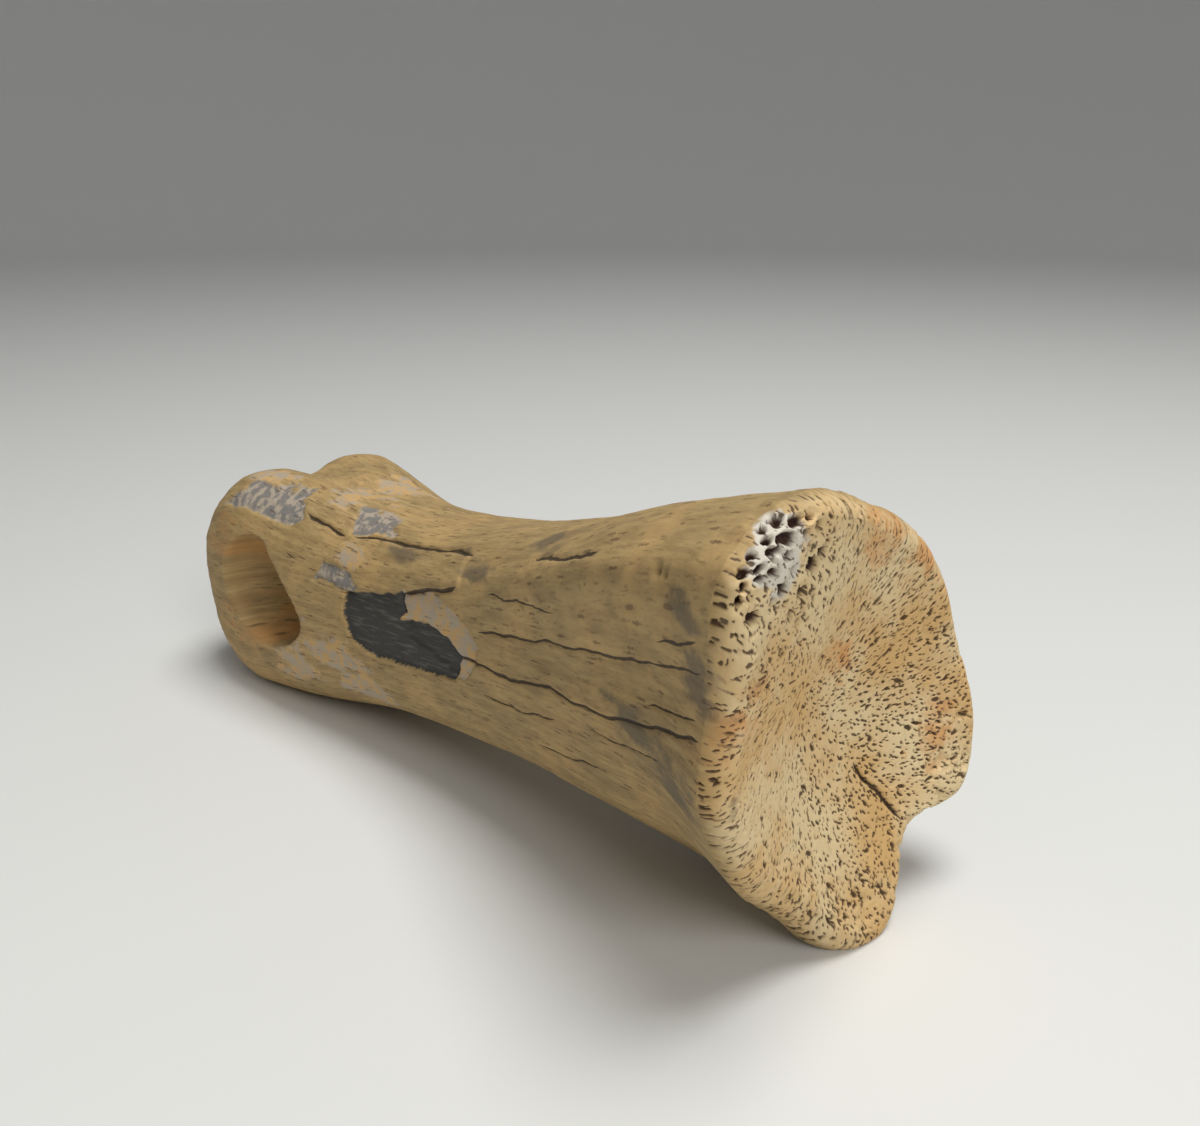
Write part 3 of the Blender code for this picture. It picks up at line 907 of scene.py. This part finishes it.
class Net:
    """The nodes of one material."""

    def __init__(self, name: str) -> None:
        """Starts a material with its own shader."""
        self.material = bpy.data.materials.new(name)
        self.material.use_nodes = True
        self.tree = self.material.node_tree
        self.shader = self.tree.nodes["Principled BSDF"]

    def node(self, kind: str, settings: dict, sockets: dict) -> bpy.types.Node:
        """A node of a kind, with its settings set first and then the values or links of its sockets."""
        made = self.tree.nodes.new(kind)
        for name, value in settings.items():
            setattr(made, name, value)
        for name, value in sockets.items():
            self.plug(made.inputs[name], value)
        return made

    def plug(self, socket: bpy.types.NodeSocket, value: object) -> None:
        """Links or sets a socket."""
        if isinstance(value, Wire):
            value = value.socket
        if isinstance(value, bpy.types.NodeSocket):
            self.tree.links.new(value, socket)
        else:
            socket.default_value = value

    def value(self, name: str) -> Wire:
        """A value that the skin keeps at its points."""
        return Wire(self, self.node("ShaderNodeAttribute", {"attribute_name": name}, {}).outputs["Fac"])

    def place(self, name: str, stretch: tuple[float, float, float]) -> bpy.types.NodeSocket:
        """A place that the skin keeps at its points, stretched."""
        kept = self.node("ShaderNodeAttribute", {"attribute_name": name}, {}).outputs["Vector"]
        return self.node("ShaderNodeVectorMath", {"operation": "MULTIPLY"}, {0: kept, 1: stretch}).outputs[0]

    def noise(self, place: bpy.types.NodeSocket, scale: float, detail: float = 3, rough: float = 0.55) -> Wire:
        """Soft noise round 0.5."""
        sockets = {"Vector": place, "Scale": scale, "Detail": detail, "Roughness": rough}
        return Wire(self, self.node("ShaderNodeTexNoise", {}, sockets).outputs["Fac"])

    def dots(self, place: bpy.types.NodeSocket, scale: float) -> Wire:
        """Distance to the nearest of many scattered places."""
        sockets = {"Vector": place, "Scale": scale, "Randomness": 1.0}
        return Wire(self, self.node("ShaderNodeTexVoronoi", {}, sockets).outputs["Distance"])

    def mix(self, share: Wire | float, low: object, high: object, how: str = "MIX") -> bpy.types.NodeSocket:
        """One colour turning into another."""
        settings = {"data_type": "RGBA", "blend_type": how, "clamp_factor": True}
        made = self.node("ShaderNodeMix", settings, {})
        for name, value in (("Factor_Float", share), ("A_Color", low), ("B_Color", high)):
            self.plug(next(socket for socket in made.inputs if socket.identifier == name), value)
        return next(socket for socket in made.outputs if socket.identifier == "Result_Color")


@dataclass(frozen=True)
class FossilBoneFinish:
    """Dry fossil bone: an olive brown shaft, a lighter porous face, slate, pale and stained patches."""

    face_light: tuple = paint(222, 198, 152)
    face_warm: tuple = paint(208, 168, 108)
    # Orange tone; on the far part of the cupped face it is painted shade.
    face_orange_and_shade: tuple = paint(205, 146, 82)
    shaft_light: tuple = paint(182, 154, 102)
    shaft_olive: tuple = paint(150, 124, 80)
    shaft_dark: tuple = paint(112, 88, 56)
    pore: tuple = paint(78, 54, 32)
    cell: tuple = paint(62, 36, 26)
    wall: tuple = paint(214, 208, 196)
    slate: tuple = paint(58, 57, 54)
    slate_light: tuple = paint(96, 94, 86)
    pale: tuple = paint(178, 164, 146)
    blue: tuple = paint(122, 120, 118)
    stain: tuple = paint(98, 88, 70)
    crack: tuple = paint(52, 38, 26)
    roughness: float = 0.72

    def material(self) -> bpy.types.Material:
        """The finish as a material that reads the values the skin keeps."""
        net = Net("fossil_bone_skin")
        fibre, grain = net.place("lay", (0.13, 1.0, 1.0)), net.place("lay", (1.0, 1.0, 1.0))
        shaft = net.value("shaft")
        streaks = net.noise(fibre, 1.1, 5, 0.62)
        fine_streaks = net.noise(fibre, 3.2, 3, 0.6)
        clouds = net.noise(grain, 0.11, 4, 0.6)
        speckle = net.noise(grain, 1.6, 4, 0.65)
        edge = (speckle - 0.5) * 1.6

        face = net.mix(clouds.step(0.35, 0.68), self.face_light, self.face_warm)
        # Orange tone, and painted shade on the far part of the cupped face.
        face = net.mix((net.value("orange_and_shade") + edge).step(-0.2, 1.4) * 0.8, face, self.face_orange_and_shade)
        face = net.mix(speckle.step(0.5, 0.78) * 0.35, face, self.shaft_olive)

        bone = net.mix(streaks.step(0.3, 0.7), self.shaft_olive, self.shaft_light)
        bone = net.mix(clouds.step(0.42, 0.7) * 0.45, bone, self.face_warm)
        bone = net.mix(fine_streaks.step(0.52, 0.74) * 0.6, bone, self.shaft_dark)
        bone = net.mix((net.value("orange_and_shade") + edge).step(-0.2, 1.4) * 0.5, bone, self.face_orange_and_shade)
        colour = net.mix(shaft, face, bone)

        colour = net.mix((net.value("stain") + edge).step(-0.3, 1.1) * 0.75, colour, self.stain)
        pale = net.mix(net.noise(grain, 0.5, 3).step(0.4, 0.62), self.pale, self.face_warm)
        colour = net.mix((net.value("pale") + edge).step(-0.1, 0.5) * 0.8, colour, pale)
        blue = net.mix(net.noise(grain, 0.7, 3).step(0.45, 0.6), self.blue, self.pale)
        colour = net.mix((net.value("blue") + edge).step(-0.1, 0.35) * 0.9, colour, blue)
        slate = net.mix(net.noise(fibre, 1.7, 3).step(0.5, 0.72), self.slate, self.slate_light)
        colour = net.mix((net.value("slate") + edge * 0.7).step(-0.12, 0.2), colour, slate)

        wall = (net.value("wall") + edge * 0.5).step(0.0, 0.9)
        colour = net.mix(wall * 0.85, colour, self.wall)
        colour = net.mix(net.value("cell").step(0.15, 0.7), colour, self.cell)
        pores = net.value("pore").step(0.15, 0.75)
        colour = net.mix(pores * 0.9, colour, self.pore)

        tiny = (net.dots(fibre, 1.5) + (speckle - 0.5) * 0.5).step(0.24, 0.12)
        colour = net.mix(tiny * 0.55, colour, self.pore)
        aside = abs(net.value("crack_aside") + (speckle - 0.5) * 0.22)
        crack = (aside - net.value("crack_here") * 0.17).step(0.06, -0.05) * net.value("crack_here").step(0.02, 0.3)
        colour = net.mix(crack * 0.9, colour, self.crack)

        net.plug(net.shader.inputs["Base Color"], colour)
        net.plug(net.shader.inputs["Roughness"], 1 - (1 - self.roughness) * (0.6 + speckle * 0.8))
        relief = streaks * 0.5 + fine_streaks * 0.5 + speckle * 0.6 - tiny * 0.5 - crack * 0.8
        bump = net.node("ShaderNodeBump", {}, {"Height": relief, "Strength": 0.5, "Distance": 0.25 * MM})
        net.plug(net.shader.inputs["Normal"], bump.outputs[0])
        return net.material


# ---- the studio ----------------------------------------------------------------------------------------------


@dataclass(frozen=True)
class Lamp:
    """A soft lamp that points at the bone."""

    place: tuple[float, float, float]
    size: float
    watts: float


@dataclass(frozen=True)
class Studio:
    """A plain pale floor that curves up all round, soft lamps and the camera."""

    floor_radius: float = 1.1
    sweep: float = 0.7
    floor_colour: tuple = paint(226, 226, 222)
    lamps: tuple[Lamp, ...] = (
        Lamp((0.16, 0.06, 0.80), 0.40, 4.6),
        Lamp((0.55, -0.20, 0.45), 0.30, 1.5),
    )
    air: float = 0.22
    camera_place: tuple[float, float, float] = (0.13619, -0.10970, 0.100)
    camera_turn: tuple[float, float, float] = (70, 0, 45)
    lens: float = 33.78

    def floor(self) -> bpy.types.Object:
        """The floor, a disc whose edge sweeps up."""
        around, steps = 96, 24
        profile = [(self.floor_radius * k / 4, 0.0) for k in range(1, 5)]
        for k in range(1, steps + 1):
            turn = math.radians(90) * k / steps
            profile.append((self.floor_radius + self.sweep * math.sin(turn), self.sweep * (1 - math.cos(turn))))
        profile.append((self.floor_radius + self.sweep, 2 * self.sweep))
        points = [(0.0, 0.0, 0.0)]
        for radius, height in profile:
            for i in range(around):
                turn = math.tau * i / around
                points.append((radius * math.cos(turn), radius * math.sin(turn), height))
        faces = [(0, 1 + i, 1 + (i + 1) % around) for i in range(around)]
        for k in range(len(profile) - 1):
            low, high = 1 + k * around, 1 + (k + 1) * around
            faces += [(low + i, high + i, high + (i + 1) % around, low + (i + 1) % around) for i in range(around)]
        data = bpy.data.meshes.new("studio_floor")
        data.from_pydata(points, [], faces)
        data.shade_smooth()
        net = Net("studio_floor")
        net.plug(net.shader.inputs["Base Color"], self.floor_colour)
        net.plug(net.shader.inputs["Roughness"], 0.6)
        data.materials.append(net.material)
        made = bpy.data.objects.new("studio_floor", data)
        bpy.context.scene.collection.objects.link(made)
        return made

    def light(self) -> None:
        """Hangs the lamps and sets the air's own light."""
        for number, lamp in enumerate(self.lamps):
            data = bpy.data.lights.new(f"lamp_{number}", "AREA")
            data.shape, data.size, data.energy = "DISK", lamp.size, lamp.watts
            made = bpy.data.objects.new(data.name, data)
            made.location = lamp.place
            made.rotation_euler = (Vector((0, 0, 0.03)) - made.location).to_track_quat("-Z", "Y").to_euler()
            bpy.context.scene.collection.objects.link(made)
        world = bpy.data.worlds.new("studio_air")
        world.use_nodes = True
        world.node_tree.nodes["Background"].inputs["Color"].default_value = paint(244, 246, 250)
        world.node_tree.nodes["Background"].inputs["Strength"].default_value = self.air
        bpy.context.scene.world = world

    def camera(self) -> None:
        """Sets the camera at the photograph's angle."""
        data = bpy.data.cameras.new("camera")
        data.lens, data.sensor_width, data.sensor_fit = self.lens, 36, "HORIZONTAL"
        data.clip_start = 0.01
        made = bpy.data.objects.new("camera", data)
        made.location = self.camera_place
        made.rotation_euler = [math.radians(turn) for turn in self.camera_turn]
        bpy.context.scene.collection.objects.link(made)
        bpy.context.scene.camera = made

    def build(self) -> None:
        """Builds all of it."""
        self.camera()
        self.floor()
        self.light()
        bpy.context.scene.view_settings.view_transform = "Standard"


def main() -> None:
    """Builds the studio and the bone."""
    logging.basicConfig(level=logging.INFO, format="%(name)s: %(message)s")
    Studio().build()
    LOG.info("studio built")
    bone = ToeBoneSkin(BoneForm(), SkinGrid()).build()
    bone.data.materials.append(FossilBoneFinish().material())
    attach(bone, "root")
    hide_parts("toe_bone")
    LOG.info("bone built with %d faces", len(bone.data.polygons))


if __name__ == "__main__":
    main()
